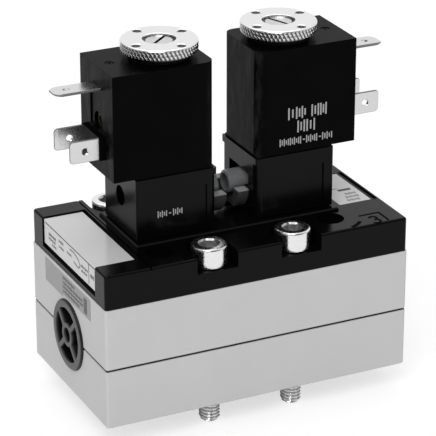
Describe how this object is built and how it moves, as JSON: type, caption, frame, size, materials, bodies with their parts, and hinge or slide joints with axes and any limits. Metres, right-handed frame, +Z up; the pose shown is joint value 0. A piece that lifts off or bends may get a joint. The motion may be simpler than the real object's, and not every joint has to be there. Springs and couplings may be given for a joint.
{
  "type": "directional control valve",
  "caption": "Manifold-mounted pneumatic spool valve with a solenoid pilot over each end, blade terminals, knurled coil nuts and manual overrides.",
  "frame": {"origin": "centre of the mounting face under the body, in the mouth of port 1", "axes": "+X along the spool to the right, +Y to the back, +Z up to the coil nuts"},
  "size_m": [0.0992, 0.052, 0.107],
  "materials": {
    "cast_body": "fine matt cast and blasted",
    "black_cover": "smooth moulded, semi gloss",
    "coil_black": "fine moulded grain",
    "label_sheet": "satin printed film",
    "grey_sticker": "satin film",
    "plated_steel": "zinc plated, satin",
    "black_steel": "black oxide",
    "nickel_nut": "bright nickel, knurled",
    "tinned_brass": "tin plated blade",
    "brass_insert": "turned",
    "black_rubber": "moulded",
    "plug_grey": "moulded",
    "override_grey": "moulded",
    "steel_tube": "turned",
    "aluminium_sleeve": "turned",
    "spring_steel": "drawn wire",
    "copper_winding": "enamelled copper wire",
    "bobbin_white": "moulded"
  },
  "bodies": {
    "valve": {"base_seal": "black_rubber", "body_gasket": "black_rubber", "bore_seals": "black_rubber", "cover": "black_cover", "cover_gasket": "black_rubber", "cover_screws": "black_steel", "left_bobbin": "bobbin_white", "left_coil_case": "coil_black", "left_coil_seal": "black_rubber", "left_contact_tabs": "tinned_brass", "left_core_tube": "steel_tube", "left_end_plug": "plug_grey", "left_flux_frame": "plated_steel", "left_ground_tab": "tinned_brass", "left_label": "label_sheet", "left_nut_washer": "black_rubber", "left_pilot_base": "black_cover", "left_pilot_gasket": "black_rubber", "left_terminal_insert": "brass_insert", "left_winding": "copper_winding", "lower_body": "cast_body", "mounting_screws": "plated_steel", "pilot_screws": "plated_steel", "plug_seals": "black_rubber", "right_bobbin": "bobbin_white", "right_coil_case": "coil_black", "right_coil_seal": "black_rubber", "right_contact_tabs": "tinned_brass", "right_core_tube": "steel_tube", "right_end_plug": "plug_grey", "right_flux_frame": "plated_steel", "right_ground_tab": "tinned_brass", "right_label": "label_sheet", "right_nut_washer": "black_rubber", "right_pilot_base": "black_cover", "right_pilot_gasket": "black_rubber", "right_terminal_insert": "brass_insert", "right_winding": "copper_winding", "side_field": "grey_sticker", "side_label": "label_sheet", "sleeve_seals": "black_rubber", "spool_sleeve": "aluminium_sleeve", "upper_body": "cast_body"},
    "spool": {"spool": "aluminium_sleeve", "left_piston": "plug_grey", "right_piston": "plug_grey", "piston_seals": "black_rubber"},
    "left_plunger": {"left_plunger": "steel_tube", "left_plunger_spring": "spring_steel"},
    "left_override": {"left_override": "override_grey", "left_override_spring": "spring_steel"},
    "left_nut": {"left_coil_nut": "nickel_nut"},
    "right_plunger": {"right_plunger": "steel_tube", "right_plunger_spring": "spring_steel"},
    "right_override": {"right_override": "override_grey", "right_override_spring": "spring_steel"},
    "right_nut": {"right_coil_nut": "nickel_nut"}
  },
  "joints": [
    {"name": "spool_slide", "type": "slide", "parent": "valve", "child": "spool", "axis": [1, 0, 0], "range_m": [0, 0.005]},
    {"name": "left_plunger_slide", "type": "slide", "parent": "valve", "child": "left_plunger", "axis": [0, 0, 1], "range_m": [0, 0.0012], "stiffness_N_per_m": 400, "springref_m": -0.002, "deforming": ["left_plunger_spring"]},
    {"name": "left_override_push", "type": "slide", "parent": "valve", "child": "left_override", "axis": [-1, 0, 0], "range_m": [0, 0.0015], "stiffness_N_per_m": 400, "springref_m": -0.001},
    {"name": "left_nut_turn", "type": "hinge", "parent": "valve", "child": "left_nut", "pos_m": [-0.018, 0, 0.0968], "axis": [0, 0, 1], "continuous": true},
    {"name": "right_plunger_slide", "type": "slide", "parent": "valve", "child": "right_plunger", "axis": [0, 0, 1], "range_m": [0, 0.0012], "stiffness_N_per_m": 400, "springref_m": -0.002, "deforming": ["right_plunger_spring"]},
    {"name": "right_override_push", "type": "slide", "parent": "valve", "child": "right_override", "axis": [1, 0, 0], "range_m": [0, 0.0015], "stiffness_N_per_m": 400, "springref_m": -0.001},
    {"name": "right_nut_turn", "type": "hinge", "parent": "valve", "child": "right_nut", "pos_m": [0.018, 0, 0.0968], "axis": [0, 0, 1], "continuous": true}
  ]
}
